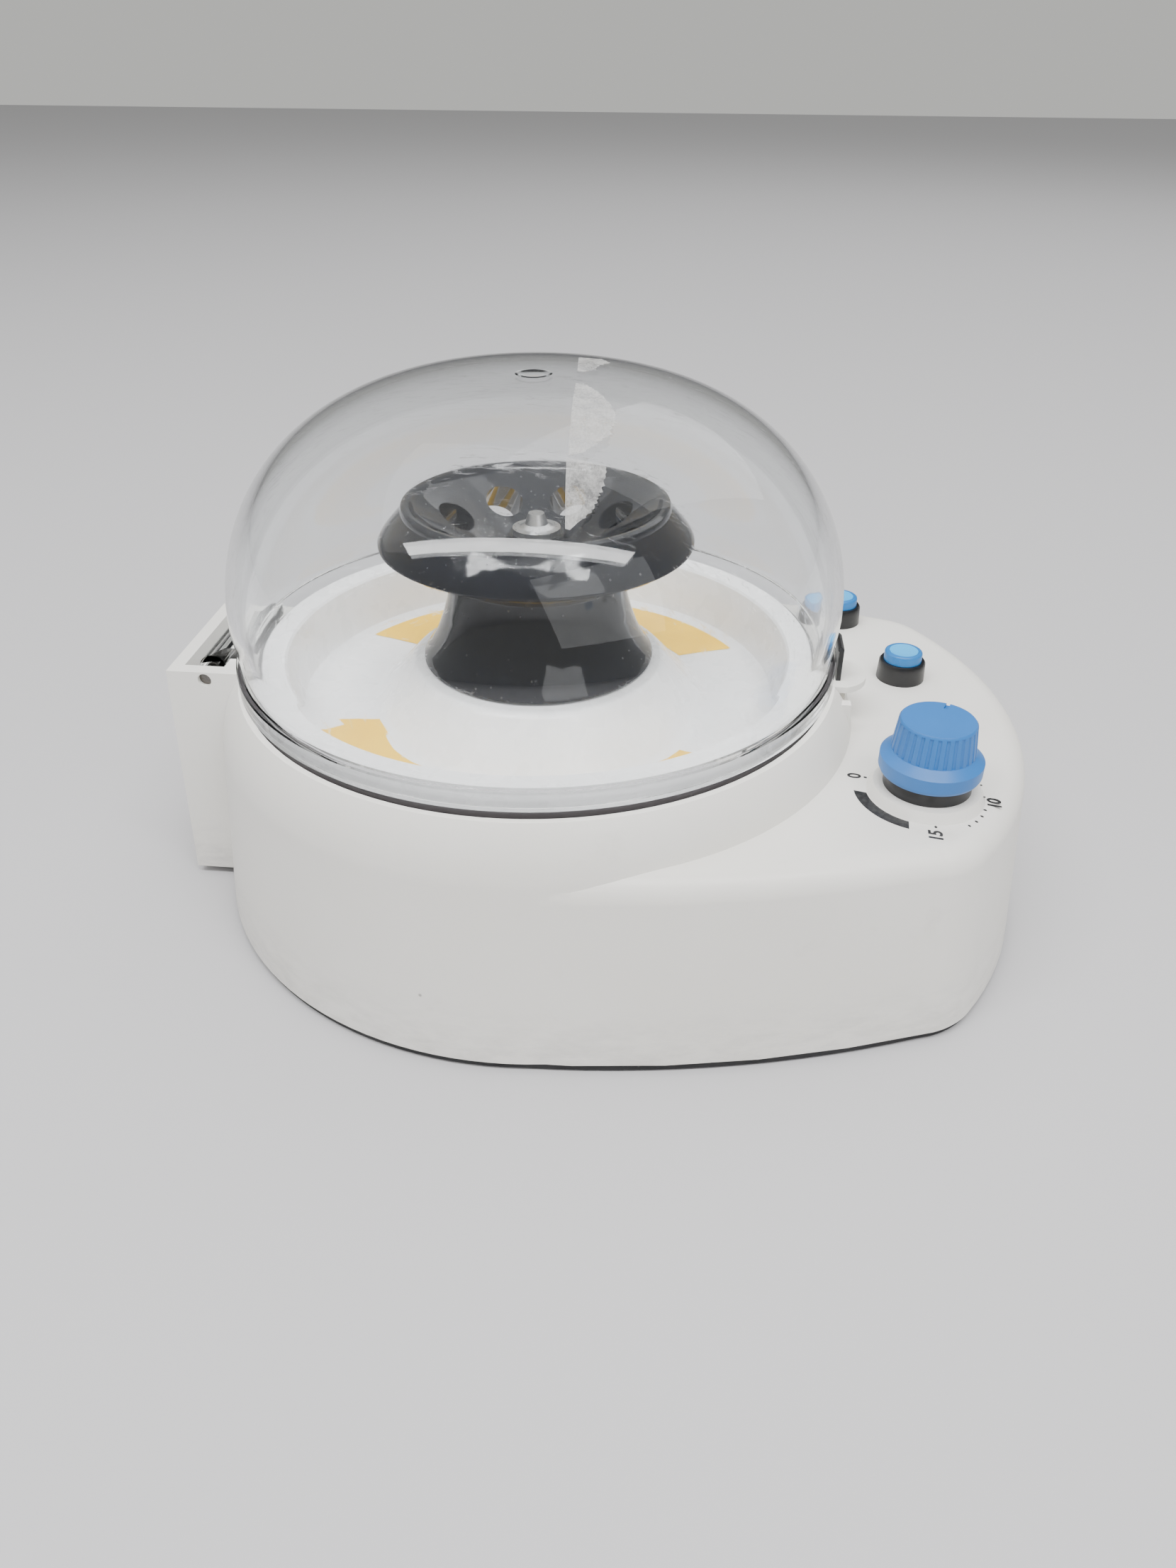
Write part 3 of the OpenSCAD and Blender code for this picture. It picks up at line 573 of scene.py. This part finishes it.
def make_tape():
    """Torn strips of old tape that run over the dome, straight on one edge."""
    strips = [
        [(-65.0, 3.9, 3.0), (-63.3, 4.1, 1.1), (-60.5, 4.4, -1.2), (-57.5, 4.7, -2.6),
         (-53.0, 5.1, -3.6), (-49.5, 5.4, -3.9), (-48.0, 5.6, -3.2), (-47.4, 5.7, 2.6)],
        [(-46.8, 5.2, 4.6), (-45.5, 5.3, 2.2), (-41.0, 5.6, -1.0), (-36.5, 5.9, -3.5),
         (-31.0, 6.3, -4.3), (-26.9, 6.6, -4.0), (-20.0, 7.0, -1.6), (-13.8, 7.3, 1.8),
         (-8.0, 7.6, 6.0)],
        [(3.0, 8.4, 6.8), (6.0, 8.6, 4.0), (12.0, 9.2, 3.0), (17.0, 9.6, 1.0), (22.0, 10.0, 4.0)],
    ]
    across = 7
    for index, strip in enumerate(strips):
        rows = []
        for (xa, ea, ra), (xb, eb, rb) in zip(strip, strip[1:]):
            count = max(2, int(abs(xb - xa) / 0.45))
            for k in range(count):
                t = k / count
                rows.append((xa + (xb - xa) * t, ea + (eb - ea) * t, ra + (rb - ra) * t))
        bm = bmesh.new()
        grid = []
        for x, edge, ragged in rows:
            torn = ragged + random.uniform(-0.45, 0.45)
            line = []
            for j in range(across + 1):
                y = edge + (torn - edge) * j / across
                lift = 0.10 + (0.16 * random.random() if j == across else 0.04 * random.random())
                line.append(bm.verts.new(dome_point(x, y - AXIS_Y, lift) * MM))
            grid.append(line)
        for a, b in zip(grid, grid[1:]):
            for j in range(across):
                bm.faces.new((a[j], a[j + 1], b[j + 1], b[j]))
        bmesh.ops.recalc_face_normals(bm, faces=bm.faces)
        mesh = bpy.data.meshes.new("tape_%d" % index)
        bm.to_mesh(mesh)
        bm.free()
        finish_piece("tape_residue_%d" % index, mesh, TAPE, "lid", 60)


def bowl_height(r):
    """Height of the bowl's floor and fillet at a radius, in mm."""
    profile = [(47.2, 61.1), (48.4, 60.0), (50.0, 59.5), (66.0, 60.0), (68.6, 60.5), (70.2, 61.6),
               (70.9, 63.5)]
    for (ra, za), (rb, zb) in zip(profile, profile[1:]):
        if ra <= r <= rb:
            return za + (zb - za) * (r - ra) / (rb - ra)
    return profile[0][1]


def make_sticker(name, start, end, inner, outer, slant):
    """A plain arc of sticker on the bowl's floor, angles in degrees about the rotor axis."""
    rings, steps = 10, 90
    bm = bmesh.new()
    grid = []
    for i in range(rings + 1):
        r = inner + (outer - inner) * i / rings
        lean = slant * (1 - i / rings)
        row = []
        for k in range(steps + 1):
            t = math.radians(start + lean + (end - start - 2 * lean) * k / steps)
            row.append(bm.verts.new((r * math.cos(t) * MM, (AXIS_Y + r * math.sin(t)) * MM,
                                     (bowl_height(r) + 0.12) * MM)))
        grid.append(row)
    for a, b in zip(grid, grid[1:]):
        for k in range(steps):
            bm.faces.new((a[k], a[k + 1], b[k + 1], b[k]))
    bmesh.ops.recalc_face_normals(bm, faces=bm.faces)
    mesh = bpy.data.meshes.new(name)
    bm.to_mesh(mesh)
    bm.free()
    finish_piece(name, mesh, STICKER, "base", 60)


def flat_shape(name, outline, z, thick=0.05):
    """A thin printed shape on the deck, from an outline in mm."""
    bm = bmesh.new()
    low = [bm.verts.new((x * MM, y * MM, z * MM)) for x, y in outline]
    high = [bm.verts.new((x * MM, y * MM, (z + thick) * MM)) for x, y in outline]
    n = len(outline)
    for k in range(n):
        bm.faces.new((low[k], low[(k + 1) % n], high[(k + 1) % n], high[k]))
    bm.faces.new(high)
    bm.faces.new(low[::-1])
    bmesh.ops.recalc_face_normals(bm, faces=bm.faces)
    mesh = bpy.data.meshes.new(name)
    bm.to_mesh(mesh)
    bm.free()
    return finish_piece(name, mesh, INK, "base", 40)


def on_dial(r, degrees):
    t = math.radians(degrees)
    return KNOB[0] + r * math.cos(t), KNOB[1] + r * math.sin(t)


def dial_mark(name, r, degrees, length, width, z=DECK_Z + 0.01):
    x, y = on_dial(r, degrees)
    t = math.radians(degrees)
    along, across = Vector((math.cos(t), math.sin(t))), Vector((-math.sin(t), math.cos(t)))
    corners = []
    for k in range(16):
        turn = 2 * math.pi * k / 16
        p = Vector((x, y)) + along * (length / 2 * math.cos(turn))
        p += across * (width / 2 * math.sin(turn))
        corners.append((p.x, p.y))
    flat_shape(name, corners, z)


def dial_text(name, words, r, degrees, size, turn=0.0, slant=0.12):
    """A number on the dial, upright for someone in front of the machine."""
    curve = bpy.data.curves.new(name, "FONT")
    curve.body = words
    curve.size = size * MM
    curve.extrude = 0.025 * MM
    curve.offset = 0.13 * MM
    curve.shear = slant
    curve.space_character = 0.92
    curve.align_x = "CENTER"
    curve.align_y = "CENTER"
    curve.resolution_u = 6
    text = bpy.data.objects.new(name + "_curve", curve)
    bpy.context.scene.collection.objects.link(text)
    bpy.context.view_layer.update()
    graph = bpy.context.evaluated_depsgraph_get()
    shape = bpy.data.meshes.new_from_object(text.evaluated_get(graph))
    bpy.data.objects.remove(text)
    x, y = on_dial(r, degrees)
    shape.transform(Matrix.Translation((x * MM, y * MM, (DECK_Z + 0.035) * MM))
                    @ Matrix.Rotation(math.radians(turn), 4, "Z"))
    finish_piece(name, shape, INK, "base", 40)


def make_dial():
    dial_text("dial_0", "0", 18.9, 71, 4.9, 4)
    dial_text("dial_15", "15", 20.2, 180, 4.9, -4)
    dial_text("dial_10", "10", 17.9, -102, 4.9, -6)
    dial_mark("dial_mark_0", 16.2, 69, 1.0, 0.75)
    dial_mark("dial_mark_15", 16.2, -178.6, 1.0, 0.75)
    for k, angle in enumerate((-148.5, -138.5, -127.5, -116.0)):
        dial_mark("dial_tick_%d" % k, 17.3 - 0.45 * k, angle, 1.0, 0.6)
    dial_mark("dial_mark_10", 14.9, -101.3, 0.8, 0.6, 59.4)
    dial_mark("dial_mark_end", 14.5, -83.3, 0.9, 0.7, 60.1)
    # plain black label block beside the dial
    steps = 24
    outer = [on_dial(18.9, 93 + 67 * k / steps) for k in range(steps + 1)]
    inner = [on_dial(15.7, 157 - 60 * k / steps) for k in range(steps + 1)]
    flat_shape("dial_block", outer + inner, DECK_Z + 0.01)


def make_cap(name, node):
    """Button cap: a darker rim round a slightly dished, lighter top."""
    low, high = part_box(node)
    x, y = (low.x + high.x) / 2 / MM, (low.y + high.y) / 2 / MM
    top = high.z / MM
    r = (high.x - low.x) / 2 / MM
    side = [(3.0, top - 17.3), (3.0, top - 6.3), (r, top - 6.3), (r, top - 0.75),
            (r - 0.15, top - 0.35), (r - 0.5, top - 0.1), (r - 0.85, top), (r - 1.25, top - 0.06),
            (r - 1.4, top - 0.25), (0.0, top - 0.25), (0.0, top - 17.3)]
    piece = revolve(name + "_rim", side, CAP_RIM, BODY_OF[node], 72, (x, y))
    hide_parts(node)
    lens = [(0.0, top - 0.22), (2.2, top - 0.2), (3.6, top - 0.14), (r - 1.5, top - 0.04),
            (r - 1.38, top - 0.12), (r - 1.38, top - 0.3), (0.0, top - 0.3)]
    revolve(name + "_top", lens, CAP_BLUE, BODY_OF[node], 72, (x, y))


make_camera()
make_stage()

dress("upper_housing", angle=32)
dress("base_plate")
dress("rotor_bowl", angle=30)
# the dark gasket in the rim's groove is a dark ring put where the gap under the lid's flange lies
# in shade: painted shade
dress("rim_gasket", angle=50)
dress("rotor", angle=34)
dress("rotor_nut", STEEL)
dress("timer_knob", angle=36)
dress("timer_disc")
dress("latch_tab", bevel=0.35)
dress("latch_hook", bevel=0.15)
for which in ("inner", "outer"):
    make_cap(which + "_cap", which + "_button_cap")
    dress(which + "_button_bezel")
dress("hinge_pin", PIN)
dress("power_inlet")
dress("rubber_feet")
make_dome()
make_tape()
make_sticker("sticker_near", 112, 245, 49.6, 66.0, 6)
make_sticker("sticker_far", -60, 62, 50.0, 67.0, 4)
make_dial()

for name, node in nodes.items():
    node.data.materials.clear()
    node.data.materials.append(BY_SLOT[SLOT_OF[name]])
